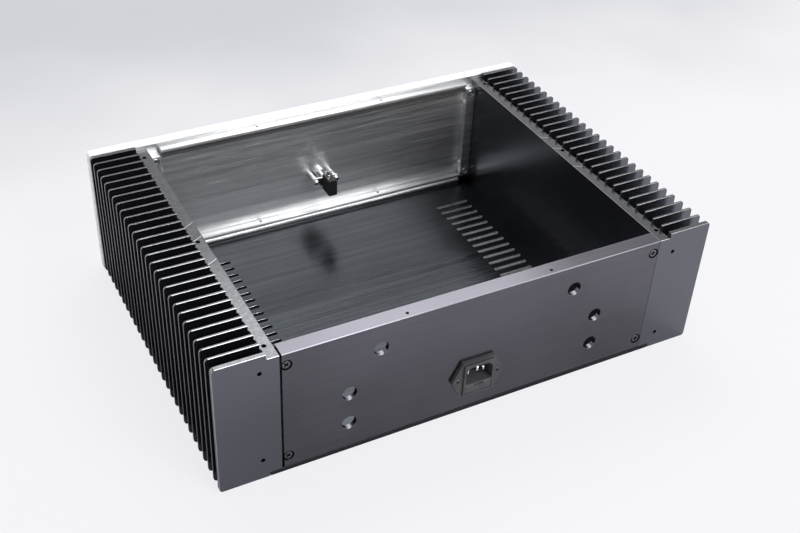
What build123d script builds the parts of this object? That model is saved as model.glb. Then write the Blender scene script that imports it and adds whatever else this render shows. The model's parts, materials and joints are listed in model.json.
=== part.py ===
from build123d import *
import os

os.makedirs("parts", exist_ok=True)

# All sizes are in millimetres. The front panel faces -Y, the rear faces +Y, and Z is up from the lowest edge.

# Case
case_width = 430.0
case_height = 120.0
cover_step = 4.2            # how far the strips lie below the fins, for a cover and for the bottom plate

# Side heatsinks
heatsink_length = 300.0
heatsink_depth = 50.0       # inner wall to fin tips
base_thickness = 9.0
step_past_base = 1.0        # the milled step runs this far into the fin roots
fin_count = 26
fin_pitch = 10.94
fin_root_thickness = 2.6
fin_tip_thickness = 2.0
fin_root_radius = 1.4
fin_corner_radius = 3.0
end_flange_thickness = 4.6
strip_hole_inset = 6.0      # cover and plate holes, from the inner wall
strip_hole_end = 14.0       # cover and plate holes, from the ends
end_hole_inset = 15.3       # holes in the end flange, from the inner wall
end_hole_radius = 1.65
end_hole_low = 19.0
end_hole_high = 104.5

# Front panel
panel_thickness = 10.0
panel_chamfer = 1.0

# Rails behind the front panel
rail_depth = 8.0
rail_height = 7.5
rail_groove_height = 2.4
rail_groove_depth = 2.0
rail_end_gap = 1.0
rail_chamfer = 0.3

# Corner posts
post_width = 10.0
post_depth = 8.0
post_end_gap = 10.0         # from the case's upper and lower edges
rear_post_gap = 0.3         # from the rear panel's inner corners
post_screw_inset = 15.0     # screws along the case's depth, from its upper and lower edges
side_screw_inset = 25.0     # screws into the heatsinks, from the same edges
post_chamfer = 0.4

# Rear panel
rear_web = 4.0
rear_flange_width = 12.8
rear_flange_thickness = 5.5
rear_side_gap = 0.5
rear_chamfer = 0.6
rear_inner_radius = 1.0
rail_hole_spacing = 125.6   # pairs of holes in the rear flange and in the front rails
rear_rail_hole_inset = 4.5  # from the rear face
front_rail_hole_inset = 3.0  # from the panel's back
connector_hole_radius = 6.0
connector_hole_break = 0.3  # chamfer of the holes' outer edges
upper_connector_spacing = 170.0
upper_connector_height = 93.2
lower_connector_spacing = 220.4
lower_connector_height = 43.4
lower_connector_rise = 29.6

# Bottom plate
plate_thickness = 4.0
plate_edge_gap = 0.5
slot_count = 22
slot_pitch = 10.08
slot_length = 34.6
slot_width = 3.6
slot_row_spacing = 252.4
slot_row_shift = 0.8        # the rows' middle lies this far ahead of the heatsinks' middle

# Metric screws: shank radius, head radius and head height
small_thread = 1.5
small_core = 1.25           # an empty tapped hole
small_head = 2.75
small_csk_height = 1.6
small_pan_height = 2.0
large_thread = 2.0
large_head = 3.8
large_cap_head = 3.5
large_cap_height = 4.0
large_csk_height = 2.2
head_clearance = 0.3
thread_in_heatsink = 7.0
thread_in_panel = 6.0
large_key = 3.0             # across the flats of the socket
large_key_depth = 1.8
pick_within = 0.01          # for finding corners by their place

# Mains inlet
inlet_middle = 35.7         # height of its middle
inlet_screw_spacing = 36.0
inlet_point_spacing = 47.0
inlet_flange_top = 29.0     # width of the flange's upper and lower edges
inlet_flange_height = 35.0
inlet_flange_thickness = 3.0
inlet_block_width = 27.0
inlet_block_height = 31.0
inlet_block_proud = 2.0
inlet_body_depth = 22.0     # behind the rear face
inlet_body_gap = 0.2
inlet_edge = 0.5
socket_width = 24.0
socket_height = 16.4
socket_bevel = 3.8
socket_floor = 12.0         # behind the rear face
socket_rise = 4.6           # middle of the socket above the inlet's middle
pin_width = 2.0
pin_height = 4.0
pin_spacing = 7.0
pin_drop = 1.5              # live pins below the socket's middle
earth_rise = 4.0            # earth pin above the live pins
live_tip = 0.4              # behind the rear face
earth_tip = -2.0
tab_width = 6.3
tab_thickness = 0.8
tab_length = 9.0
nut_width = 5.5
nut_height = 2.4

# Fuse drawer
drawer_drop = 9.2           # middle of the drawer below the inlet's middle
drawer_face_width = 24.0
drawer_face_height = 8.2
drawer_face_thickness = 1.6
drawer_width = 22.0
drawer_height = 7.0
drawer_length = 20.0
drawer_gap = 0.25
drawer_wall = 1.0
drawer_floor = 0.8
drawer_end_height = 3.4
fuse_radius = 2.6
fuse_length = 20.0
fuse_cap_length = 5.0
fuse_glass_radius = 2.35
fuse_pocket_gap = 0.2
fuse_inset = 4.6            # middle of the working fuse from the drawer's inner end
spare_fuse_inset = 13.2
contact_gap = 0.1
contact_width = 4.0
contact_thickness = 0.7
contact_spacing = 15.0

# Power switch
button_height = 50.0
button_radius = 6.0
button_proud = 2.5
button_travel = 3.0
button_fit = 0.05
button_inside = 3.8         # cap length inside the panel at rest
button_edge = 0.8
stem_radius = 2.2
bush_radius = 5.5
bush_proud = 4.0
bush_seat = 3.0             # length inside the panel
pillar_radius = 2.5
pillar_length = 16.0
pillar_spacing = 20.0
pillar_stud = 5.0
bracket_width = 27.0
bracket_height = 9.0
bracket_thickness = 1.2
switch_width = 8.5
switch_height = 16.3
switch_depth = 14.8
switch_edge = 0.6
plunger_size = 3.2
plunger_gap = 0.2
plunger_reach = 6.0         # ahead of the bracket
plunger_hidden = 7.0        # inside the switch body
lug_width = 2.2
lug_thickness = 0.6
lug_height = 4.6
lug_seat = 1.6
lug_hole_radius = 0.6
lug_spacing = 4.6
lug_row_spacing = 7.0

# Places that follow from the sizes
inlet_proud = inlet_flange_thickness + inlet_block_proud
total_depth = button_proud + panel_thickness + heatsink_length + inlet_proud
rear_y = total_depth / 2 - inlet_proud
panel_back_y = rear_y - heatsink_length
panel_front_y = panel_back_y - panel_thickness
half_width = case_width / 2
wall_x = half_width - heatsink_depth
base_x = wall_x + base_thickness
step_x = base_x + step_past_base
strip_top = case_height - cover_step
strip_hole_x = wall_x + strip_hole_inset
post_x = wall_x - post_width / 2
rail_x = wall_x - post_width - rail_end_gap
front_post_y = panel_back_y + post_depth / 2
rear_post_y = rear_y - rear_web - post_depth / 2
strip_hole_ys = [rear_y - strip_hole_end, rear_y - heatsink_length / 2, panel_back_y + strip_hole_end]
rear_rail_hole_y = rear_y - rear_rail_hole_inset
front_rail_hole_y = panel_back_y + front_rail_hole_inset
slots_y = rear_y - heatsink_length / 2 - slot_row_shift
plate_bottom = cover_step - plate_thickness


def block(x0, x1, y0, y1, z0, z1):
    """A box between three pairs of limits."""
    middle = Pos((x0 + x1) / 2, (y0 + y1) / 2, (z0 + z1) / 2)
    return middle * Box(abs(x1 - x0), abs(y1 - y0), abs(z1 - z0))


def rod(radius, length, start, direction):
    """A round bar that starts at a point and runs along a direction."""
    place = Plane(origin=start, z_dir=direction)
    return place * Cylinder(radius, length, align=(Align.CENTER, Align.CENTER, Align.MIN))


def taper(start_radius, end_radius, length, start, direction):
    """A cone frustum that starts at a point and runs along a direction."""
    place = Plane(origin=start, z_dir=direction)
    return place * Cone(start_radius, end_radius, length, align=(Align.CENTER, Align.CENTER, Align.MIN))


def countersunk_screw(thread, head, head_height, length, start, direction):
    """A flat-headed screw whose head's face is at the start point."""
    cone = taper(head, thread, head_height, start, direction)
    return cone + rod(thread, length, start, direction)


def socket_screw(length, start):
    """A large socket screw along the case's depth, with its head's face at the start point."""
    screw = rod(large_cap_head, large_cap_height, start, (0, -1, 0))
    screw += rod(large_thread, large_cap_height + length, start, (0, -1, 0))
    hexagon = Plane(origin=start, z_dir=(0, -1, 0)) * RegularPolygon(large_key / 2, 6, major_radius=False)
    return screw - extrude(hexagon, amount=large_key_depth, dir=(0, -1, 0))


def pan_screw(length, seat, direction):
    """A small screw whose rounded head stands on a seat, with its shank along a direction."""
    outwards = -Vector(*direction)
    head = rod(small_head, small_pan_height, seat, outwards)
    rim = head.edges().sort_by(lambda edge: edge.center().dot(outwards))[-1]
    return fillet(rim, small_pan_height / 2) + rod(small_thread, length, seat, direction)


def save(shape, name):
    """Write one node, and keep its name inside the file."""
    shape.label = name
    export_step(shape, "parts/" + name + ".step")


def group(pieces):
    """Separate identical pieces that share one node."""
    return Compound(children=list(pieces))


def pair_heights(inset):
    """The upper and lower heights of a pair set in from the case's edges."""
    return [case_height - inset, inset]


# Heatsinks: one extrusion, used on both sides

def fin_outline(middle_y, root, tip):
    """One fin seen from above, from inside the base to the tip."""
    return Polygon(
        (base_x - base_thickness / 2, middle_y - root / 2),
        (half_width, middle_y - tip / 2),
        (half_width, middle_y + tip / 2),
        (base_x - base_thickness / 2, middle_y + root / 2),
        align=None,
    )


def heatsink_from_above():
    """The comb of base, fins and end flanges."""
    middle = rear_y - heatsink_length / 2
    base = Pos(wall_x + base_thickness / 2, middle) * Rectangle(base_thickness, heatsink_length)
    comb = base
    for index in range(fin_count):
        fin_y = middle + (index - (fin_count - 1) / 2) * fin_pitch
        comb += fin_outline(fin_y, fin_root_thickness, fin_tip_thickness)
    flange_middle = heatsink_length / 2 - end_flange_thickness / 2
    for side in (-1, 1):
        comb += fin_outline(middle + side * flange_middle, end_flange_thickness, end_flange_thickness)
    roots = comb.vertices().filter_by_position(Axis.X, base_x - pick_within, base_x + pick_within)
    return fillet(roots, fin_root_radius)


def heatsink_from_behind():
    """The section that the milled steps and the rounded fin corners leave."""
    outline = Polygon(
        (wall_x, cover_step),
        (step_x, cover_step),
        (step_x, 0),
        (half_width, 0),
        (half_width, case_height),
        (step_x, case_height),
        (step_x, strip_top),
        (wall_x, strip_top),
        align=None,
    )
    corners = outline.vertices().sort_by(Axis.X)[-2:]
    return fillet(corners, fin_corner_radius)


def heatsink():
    """The heatsink on the +X side, before its strips are drilled."""
    comb = extrude(heatsink_from_above(), amount=case_height)
    section = Plane(origin=(0, rear_y, 0), x_dir=(1, 0, 0), z_dir=(0, -1, 0)) * heatsink_from_behind()
    body = comb & extrude(section, amount=heatsink_length, dir=(0, -1, 0))
    holes = []
    for z in (end_hole_low, end_hole_high):
        holes.append(rod(end_hole_radius, end_flange_thickness, (wall_x + end_hole_inset, rear_y, z), (0, -1, 0)))
    for y in (front_post_y, rear_post_y):
        for z in pair_heights(side_screw_inset):
            holes.append(rod(small_thread, thread_in_heatsink, (wall_x, y, z), (1, 0, 0)))
    return body - holes


def turned_over(shape):
    """The same piece turned half round about the case's depth."""
    return Pos(0, 0, case_height) * Rot(0, 180, 0) * shape


def drilled(shape, side):
    """A heatsink with the holes for the cover above and for the bottom plate below."""
    for y in strip_hole_ys:
        shape -= rod(small_core, thread_in_heatsink, (side * strip_hole_x, y, strip_top), (0, 0, -1))
        shape -= rod(small_thread, thread_in_heatsink, (side * strip_hole_x, y, cover_step), (0, 0, 1))
    return shape


# Front panel with its switch fittings

def front_panel():
    """The thick front panel, tapped from behind and bored for the button."""
    panel = block(-half_width, half_width, panel_front_y, panel_back_y, 0, case_height)
    panel = chamfer(panel.edges(), panel_chamfer)
    front_bore = panel_thickness - bush_seat
    panel -= rod(button_radius, front_bore, (0, panel_front_y, button_height), (0, 1, 0))
    panel -= rod(bush_radius, bush_seat, (0, panel_back_y, button_height), (0, -1, 0))
    for side in (-1, 1):
        for z in pair_heights(post_screw_inset):
            panel -= rod(large_thread, thread_in_panel, (side * post_x, panel_back_y, z), (0, -1, 0))
        pillar_x = side * pillar_spacing / 2
        panel -= rod(small_thread, pillar_stud, (pillar_x, panel_back_y, button_height), (0, -1, 0))
    return panel


def front_rail(hole_radius):
    """The upper rail: a grooved bar behind the panel, with a pair of tapped holes."""
    groove_low = strip_top - rail_height / 2 - rail_groove_height / 2
    bar = block(-rail_x, rail_x, panel_back_y, panel_back_y + rail_depth, strip_top - rail_height, strip_top)
    bar = chamfer(bar.edges().filter_by(Axis.X), rail_chamfer)
    groove_y = panel_back_y + rail_depth
    bar -= block(-rail_x, rail_x, groove_y - rail_groove_depth, groove_y,
                 groove_low, groove_low + rail_groove_height)
    for side in (-1, 1):
        top = (side * rail_hole_spacing / 2, front_rail_hole_y, strip_top)
        bar -= rod(hole_radius, rail_height, top, (0, 0, -1))
    return bar


# Corner posts and the screws through them

def post(middle_y, end_gap, screw_start_y, counterbored):
    """A post on the +X side, drilled along the case's depth and into the heatsink."""
    bar = block(wall_x - post_width, wall_x, middle_y - post_depth / 2, middle_y + post_depth / 2,
                end_gap, case_height - end_gap)
    bar = chamfer(bar.edges().filter_by(Axis.Z), post_chamfer)
    for z in pair_heights(post_screw_inset):
        start = (post_x, screw_start_y, z)
        bar -= rod(large_thread, post_depth, start, (0, -1, 0))
        if counterbored:
            bar -= rod(large_cap_head + head_clearance, large_cap_height, start, (0, -1, 0))
    for z in pair_heights(side_screw_inset):
        bar -= rod(small_thread, post_width, (wall_x - post_width, middle_y, z), (1, 0, 0))
    return bar


def front_post():
    """The post behind the front panel, counterbored for its socket screws."""
    return post(front_post_y, post_end_gap, panel_back_y + post_depth, True)


def rear_post():
    """The post ahead of the rear panel."""
    end_gap = cover_step + rear_flange_thickness + rear_inner_radius + rear_post_gap
    return post(rear_post_y, end_gap, rear_y - rear_web, False)


def front_post_screws():
    """Long socket screws through the front posts into the panel."""
    length = post_depth - large_cap_height + thread_in_panel
    screws = []
    for side in (-1, 1):
        for z in pair_heights(post_screw_inset):
            screws.append(socket_screw(length, (side * post_x, panel_back_y + post_depth, z)))
    return group(screws)


def post_side_screws():
    """Small screws through all four posts into the heatsinks, with their heads on the posts."""
    length = post_width + thread_in_heatsink
    screws = []
    for side in (-1, 1):
        for y in (front_post_y, rear_post_y):
            for z in pair_heights(side_screw_inset):
                screws.append(pan_screw(length, (side * (wall_x - post_width), y, z), (side, 0, 0)))
    return group(screws)


# Rear panel

def connector_holes():
    """Places of the six round connector holes, as X and Z."""
    places = []
    for side in (-1, 1):
        places.append((side * upper_connector_spacing / 2, upper_connector_height))
        for rise in (-0.5, 0.5):
            places.append((side * lower_connector_spacing / 2, lower_connector_height + rise * lower_connector_rise))
    return places


def rear_panel():
    """A channel section: the drilled rear face with a flange along its top and bottom."""
    flange_y = rear_y - rear_flange_width
    web_y = rear_y - rear_web
    section = Polygon(
        (flange_y, cover_step),
        (rear_y, cover_step),
        (rear_y, strip_top),
        (flange_y, strip_top),
        (flange_y, strip_top - rear_flange_thickness),
        (web_y, strip_top - rear_flange_thickness),
        (web_y, cover_step + rear_flange_thickness),
        (flange_y, cover_step + rear_flange_thickness),
        align=None,
    )
    section = chamfer(section.vertices().sort_by(Axis.X)[-2:], rear_chamfer)
    inner = section.vertices().filter_by_position(Axis.X, web_y - pick_within, web_y + pick_within)
    section = fillet(inner, rear_inner_radius)
    half_length = wall_x - rear_side_gap
    place = Plane(origin=(-half_length, 0, 0), x_dir=(0, 1, 0), z_dir=(1, 0, 0))
    panel = extrude(place * section, amount=2 * half_length, dir=(1, 0, 0))
    cuts = []
    for x, z in connector_holes():
        start = (x, rear_y, z)
        cuts.append(rod(connector_hole_radius, rear_web, start, (0, -1, 0)))
        cuts.append(taper(connector_hole_radius + connector_hole_break, connector_hole_radius,
                          connector_hole_break, start, (0, -1, 0)))
    for side in (-1, 1):
        for z in pair_heights(post_screw_inset):
            start = (side * post_x, rear_y, z)
            cuts.append(taper(large_head, large_thread, large_csk_height, start, (0, -1, 0)))
            cuts.append(rod(large_thread, rear_web, start, (0, -1, 0)))
        x = side * rail_hole_spacing / 2
        cuts.append(rod(small_core, rear_flange_thickness, (x, rear_rail_hole_y, strip_top), (0, 0, -1)))
        cuts.append(rod(small_thread, rear_flange_thickness, (x, rear_rail_hole_y, cover_step), (0, 0, 1)))
        screw = (side * inlet_screw_spacing / 2, rear_y, inlet_middle)
        cuts.append(rod(small_thread, rear_web, screw, (0, -1, 0)))
    half_cut_x = inlet_block_width / 2 + inlet_body_gap
    half_cut_z = inlet_block_height / 2 + inlet_body_gap
    cuts.append(block(-half_cut_x, half_cut_x, web_y, rear_y, inlet_middle - half_cut_z, inlet_middle + half_cut_z))
    return panel - cuts


def rear_panel_screws():
    """Flat-headed screws through the rear panel into the rear posts."""
    screws = []
    for side in (-1, 1):
        for z in pair_heights(post_screw_inset):
            start = (side * post_x, rear_y, z)
            screws.append(countersunk_screw(large_thread, large_head, large_csk_height,
                                            rear_web + post_depth, start, (0, -1, 0)))
    return group(screws)


# Bottom plate

def plate_screw_places():
    """Places of the plate's screws, as X and Y."""
    places = []
    for side in (-1, 1):
        for y in strip_hole_ys:
            places.append((side * strip_hole_x, y))
        for y in (rear_rail_hole_y, front_rail_hole_y):
            places.append((side * rail_hole_spacing / 2, y))
    return places


def bottom_plate():
    """The slotted plate that lies in the heatsinks' lower steps."""
    half = step_x - plate_edge_gap
    sheet = Pos(0, (rear_y + panel_back_y) / 2) * Rectangle(2 * half, heatsink_length)
    slots = Sketch()
    for side in (-1, 1):
        for index in range(slot_count):
            y = slots_y + (index - (slot_count - 1) / 2) * slot_pitch
            slots += Pos(side * slot_row_spacing / 2, y) * SlotOverall(slot_length, slot_width)
    plate = Pos(0, 0, plate_bottom) * extrude(sheet - slots, amount=plate_thickness)
    cuts = []
    for x, y in plate_screw_places():
        foot = (x, y, plate_bottom)
        cuts.append(taper(small_head, small_thread, small_csk_height, foot, (0, 0, 1)))
        cuts.append(rod(small_thread, plate_thickness, foot, (0, 0, 1)))
    return plate - cuts


def bottom_plate_screws():
    """Flat-headed screws up through the plate."""
    length = plate_thickness + rear_flange_thickness
    return group(countersunk_screw(small_thread, small_head, small_csk_height, length,
                                   (x, y, plate_bottom), (0, 0, 1)) for x, y in plate_screw_places())


# Mains inlet

def depth_y(behind_rear_face):
    """The Y of a place given by its distance inwards from the rear face."""
    return rear_y - behind_rear_face


def tab_height(z):
    """A flat tab's lower and upper edges about a height."""
    return z - tab_width / 2, z + tab_width / 2


def inlet_pin(x, z, tip):
    """One contact pin with the flat tab behind it."""
    blade = block(x - pin_width / 2, x + pin_width / 2, depth_y(tip), depth_y(inlet_body_depth),
                  z - pin_height / 2, z + pin_height / 2)
    front = blade.faces().sort_by(Axis.Y)[-1]
    blade = chamfer(front.edges(), pin_width / 4)
    low, high = tab_height(z)
    half = tab_thickness / 2
    tab = block(x - half, x + half, depth_y(inlet_body_depth), depth_y(inlet_body_depth + tab_length), low, high)
    return blade + tab


def inlet_pins():
    """The live, earth and neutral pins."""
    live_z = inlet_middle + socket_rise - pin_drop
    return [
        inlet_pin(-pin_spacing, live_z, live_tip),
        inlet_pin(0, live_z + earth_rise, earth_tip),
        inlet_pin(pin_spacing, live_z, live_tip),
    ]


def fuse_contacts():
    """Flat contacts above the working fuse that run out behind as tabs."""
    drawer_z = inlet_middle - drawer_drop
    low = drawer_z - drawer_height / 2 + drawer_floor + 2 * fuse_radius + contact_gap
    inner_end = drawer_length + drawer_face_thickness - inlet_proud
    front = inner_end - fuse_inset - fuse_radius
    strips = []
    for side in (-1, 1):
        x = side * contact_spacing / 2
        strips.append(block(x - contact_width / 2, x + contact_width / 2, depth_y(front),
                            depth_y(inlet_body_depth + tab_length), low, low + contact_thickness))
    return strips


def inlet_housing():
    """The moulded inlet with its socket and the well for the fuse drawer."""
    place = Plane(origin=(0, rear_y, inlet_middle), x_dir=(1, 0, 0), z_dir=(0, -1, 0))
    half_point = inlet_point_spacing / 2
    half_top = inlet_flange_top / 2
    half_height = inlet_flange_height / 2
    flange = Polygon(
        (-half_point, 0), (-half_top, -half_height), (half_top, -half_height),
        (half_point, 0), (half_top, half_height), (-half_top, half_height),
        align=None,
    )
    flange = fillet(flange.vertices(), inlet_edge * 2)
    housing = extrude(place * flange, amount=inlet_flange_thickness, dir=(0, 1, 0))
    half_x = inlet_block_width / 2
    half_z = inlet_block_height / 2
    body = block(-half_x, half_x, depth_y(inlet_body_depth), depth_y(-inlet_proud),
                 inlet_middle - half_z, inlet_middle + half_z)
    body = fillet(body.edges().filter_by(Axis.Y), 2 * inlet_edge)
    front = body.faces().sort_by(Axis.Y)[-1]
    housing += fillet(front.edges(), inlet_edge)

    socket_z = inlet_middle + socket_rise
    half_w = socket_width / 2
    half_h = socket_height / 2
    mouth = Polygon(
        (-half_w, -half_h), (half_w, -half_h), (half_w, half_h - socket_bevel),
        (half_w - socket_bevel, half_h), (socket_bevel - half_w, half_h), (-half_w, half_h - socket_bevel),
        align=None,
    )
    mouth_place = Plane(origin=(0, depth_y(-inlet_proud), socket_z), x_dir=(-1, 0, 0), z_dir=(0, 1, 0))
    cavity = extrude(mouth_place * mouth, amount=inlet_proud + socket_floor, dir=(0, -1, 0))

    drawer_z = inlet_middle - drawer_drop
    face_x = drawer_face_width / 2 + drawer_gap
    face_z = drawer_face_height / 2 + drawer_gap
    well_x = drawer_width / 2 + drawer_gap
    well_z = drawer_height / 2 + drawer_gap
    face_y = depth_y(drawer_face_thickness + drawer_gap - inlet_proud)
    well_y = depth_y(drawer_length + drawer_face_thickness + drawer_gap - inlet_proud)
    recess = block(-face_x, face_x, face_y, depth_y(-inlet_proud), drawer_z - face_z, drawer_z + face_z)
    well = block(-well_x, well_x, well_y, face_y, drawer_z - well_z, drawer_z + well_z)

    housing -= [cavity, recess, well]
    housing -= inlet_pins() + fuse_contacts()
    for side in (-1, 1):
        start = (side * inlet_screw_spacing / 2, depth_y(-inlet_flange_thickness), inlet_middle)
        housing -= taper(small_head, small_thread, small_csk_height, start, (0, -1, 0))
        housing -= rod(small_thread, inlet_flange_thickness, start, (0, -1, 0))
    return housing


def inlet_screws():
    """Flat-headed screws through the inlet's ears, the panel and the nuts."""
    length = inlet_flange_thickness + rear_web + nut_height + small_thread
    return group(countersunk_screw(small_thread, small_head, small_csk_height, length,
                                   (side * inlet_screw_spacing / 2, depth_y(-inlet_flange_thickness), inlet_middle),
                                   (0, -1, 0)) for side in (-1, 1))


def inlet_nuts():
    """Hexagonal nuts on the panel's inner face."""
    nuts = []
    for side in (-1, 1):
        place = Plane(origin=(side * inlet_screw_spacing / 2, rear_y - rear_web, inlet_middle), z_dir=(0, -1, 0))
        outline = RegularPolygon(nut_width / 2, 6, major_radius=False) - Circle(small_thread)
        nuts.append(extrude(place * outline, amount=nut_height, dir=(0, -1, 0)))
    return group(nuts)


# Fuse drawer and fuses

def fuse_places():
    """The Y of the working fuse and of the spare one."""
    inner_end = drawer_length + drawer_face_thickness - inlet_proud
    return [depth_y(inner_end - fuse_inset), depth_y(inner_end - spare_fuse_inset)]


def fuse_z():
    """The height of the fuses' axes."""
    return inlet_middle - drawer_drop - drawer_height / 2 + drawer_floor + fuse_radius


def fuse_drawer():
    """The drawer: a face with a finger notch, and an open tray with two wells."""
    z = inlet_middle - drawer_drop
    front_y = depth_y(-inlet_proud)
    face_y = front_y - drawer_face_thickness
    face = block(-drawer_face_width / 2, drawer_face_width / 2, face_y, front_y,
                 z - drawer_face_height / 2, z + drawer_face_height / 2)
    face = chamfer(face.faces().sort_by(Axis.Y)[-1].edges(), drawer_face_thickness / 4)
    low = z - drawer_height / 2
    inner_y = face_y - drawer_length
    tray = block(-drawer_width / 2, drawer_width / 2, inner_y, face_y, low, low + drawer_height)
    half = fuse_length / 2 + fuse_pocket_gap
    reach = fuse_radius + fuse_pocket_gap
    for y in fuse_places():
        tray -= block(-half, half, y - reach, y + reach, low + drawer_floor, low + drawer_height)
    open_x = drawer_width / 2 - drawer_wall
    spare_y = fuse_places()[1]
    tray -= block(-open_x, open_x, inner_y, spare_y, low + drawer_end_height, low + drawer_height)
    notch = block(-drawer_face_width / 6, drawer_face_width / 6, face_y + drawer_face_thickness / 2, front_y,
                  z + drawer_face_height / 4, z + drawer_face_height / 2)
    return face + tray - notch


def fuse_tubes():
    """The two fuses' glass tubes, between their caps."""
    length = fuse_length - 2 * fuse_cap_length
    return group(rod(fuse_glass_radius, length, (-length / 2, y, fuse_z()), (1, 0, 0)) for y in fuse_places())


def fuse_caps():
    """The four metal end caps."""
    caps = []
    for y in fuse_places():
        for side in (-1, 1):
            start = (side * (fuse_length / 2 - fuse_cap_length), y, fuse_z())
            cap = rod(fuse_radius, fuse_cap_length, start, (side, 0, 0))
            end = cap.faces().sort_by(Axis.X)[-1 if side > 0 else 0]
            caps.append(chamfer(end.edges(), fuse_radius / 8))
    return group(caps)


# Power switch

bracket_front_y = panel_back_y + pillar_length
bracket_back_y = bracket_front_y + bracket_thickness
plunger_front_y = bracket_front_y - plunger_reach


def power_button():
    """The round button with the stem that reaches the switch."""
    cap = rod(button_radius - button_fit, button_proud + button_inside,
              (0, panel_front_y - button_proud, button_height), (0, 1, 0))
    rim = cap.faces().sort_by(Axis.Y)[0].edges()
    cap = fillet(rim, button_edge)
    stem_start = panel_front_y + button_inside
    stem = rod(stem_radius, plunger_front_y - stem_start, (0, stem_start, button_height), (0, 1, 0))
    return cap + stem


def button_bush():
    """The ring in the panel's back that guides the stem."""
    ring = rod(bush_radius, bush_seat + bush_proud, (0, panel_back_y - bush_seat, button_height), (0, 1, 0))
    ring = chamfer(ring.faces().sort_by(Axis.Y)[-1].edges(), button_edge / 2)
    hole = rod(stem_radius + button_fit, bush_seat + bush_proud,
               (0, panel_back_y - bush_seat, button_height), (0, 1, 0))
    return ring - hole


def switch_pillars():
    """Round pillars screwed into the panel's back."""
    pillars = []
    for side in (-1, 1):
        start = (side * pillar_spacing / 2, panel_back_y, button_height)
        end = (side * pillar_spacing / 2, bracket_front_y, button_height)
        pillar = rod(pillar_radius, pillar_length, start, (0, 1, 0)) + rod(small_thread, pillar_stud, start, (0, -1, 0))
        pillars.append(pillar - rod(small_thread, thread_in_panel, end, (0, -1, 0)))
    return group(pillars)


def switch_bracket():
    """The flat steel plate between the pillars and the switch."""
    place = Plane(origin=(0, bracket_front_y, button_height), x_dir=(-1, 0, 0), z_dir=(0, 1, 0))
    opening = plunger_size + 2 * plunger_gap
    outline = RectangleRounded(bracket_width, bracket_height, bracket_height / 3) - Rectangle(opening, opening)
    for side in (-1, 1):
        outline -= Pos(side * pillar_spacing / 2, 0) * Circle(small_thread)
    return extrude(place * outline, amount=bracket_thickness, dir=(0, 1, 0))


def switch_screws():
    """Pan-headed screws that hold the bracket on its pillars."""
    length = bracket_thickness + thread_in_panel
    return group(pan_screw(length, (side * pillar_spacing / 2, bracket_back_y, button_height), (0, -1, 0))
                 for side in (-1, 1))


def lug_places():
    """Places of the solder lugs on the switch, as X and Y."""
    middle = bracket_back_y + switch_depth / 2
    return [(i * lug_spacing / 2, middle + j * lug_row_spacing / 2) for i in (-1, 1) for j in (-1, 1)]


def switch_lugs():
    """Flat solder lugs on the switch's upper side, each with an eye."""
    top = button_height + switch_height / 2
    lugs = []
    for x, y in lug_places():
        lug = block(x - lug_width / 2, x + lug_width / 2, y - lug_thickness / 2, y + lug_thickness / 2,
                    top - lug_seat, top + lug_height)
        eye_z = top + lug_height * 0.65
        lugs.append(lug - rod(lug_hole_radius, lug_thickness, (x, y - lug_thickness / 2, eye_z), (0, 1, 0)))
    return lugs


def switch_body():
    """The switch's case, hollow where the plunger slides."""
    half = switch_width / 2
    low = button_height - switch_height / 2
    body = block(-half, half, bracket_back_y, bracket_back_y + switch_depth, low, low + switch_height)
    body = chamfer(body.edges().filter_by(Axis.Y), switch_edge)
    half_hole = plunger_size / 2 + plunger_gap
    hollow = plunger_hidden + button_travel + plunger_gap
    body -= block(-half_hole, half_hole, bracket_back_y, bracket_back_y + hollow,
                  button_height - half_hole, button_height + half_hole)
    return body - switch_lugs()


def switch_plunger():
    """The square plunger, against the end of the button's stem."""
    half = plunger_size / 2
    return block(-half, half, plunger_front_y, bracket_back_y + plunger_hidden,
                 button_height - half, button_height + half)


right_heatsink = heatsink()
save(drilled(right_heatsink, 1), "heatsink_right")
save(drilled(turned_over(right_heatsink), -1), "heatsink_left")
save(front_panel(), "front_panel")
save(front_rail(small_core), "front_rail_top")
save(turned_over(front_rail(small_thread)), "front_rail_bottom")
save(front_post(), "front_post_right")
save(turned_over(front_post()), "front_post_left")
save(rear_post(), "rear_post_right")
save(turned_over(rear_post()), "rear_post_left")
save(front_post_screws(), "front_post_screws")
save(post_side_screws(), "post_side_screws")
save(rear_panel(), "rear_panel")
save(rear_panel_screws(), "rear_panel_screws")
save(bottom_plate(), "bottom_plate")
save(bottom_plate_screws(), "bottom_plate_screws")
save(inlet_housing(), "inlet_housing")
save(group(inlet_pins()), "inlet_pins")
save(group(fuse_contacts()), "inlet_fuse_contacts")
save(inlet_screws(), "inlet_screws")
save(inlet_nuts(), "inlet_nuts")
save(fuse_drawer(), "fuse_drawer")
save(fuse_tubes(), "fuse_tubes")
save(fuse_caps(), "fuse_caps")
save(power_button(), "power_button")
save(button_bush(), "button_bush")
save(switch_pillars(), "switch_pillars")
save(switch_bracket(), "switch_bracket")
save(switch_screws(), "switch_screws")
save(switch_body(), "switch_body")
save(group(switch_lugs()), "switch_lugs")
save(switch_plunger(), "switch_plunger")
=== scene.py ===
# %% [markdown]
# # An open amplifier chassis
# The case is all aluminium: two black finned heatsinks as its sides, a thick silver front panel, a black
# brushed rear panel and a slotted black base. It has no cover, so the eye looks straight into it.
# Every solid comes from the packed model, which is the fixed frame. This lesson gives the solids their
# finishes and rebuilds the pieces whose small forms a quick solid leaves out.

# %% Load the frame
import json
import math

import bmesh
import bpy
from mathutils import Matrix, Vector


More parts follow.
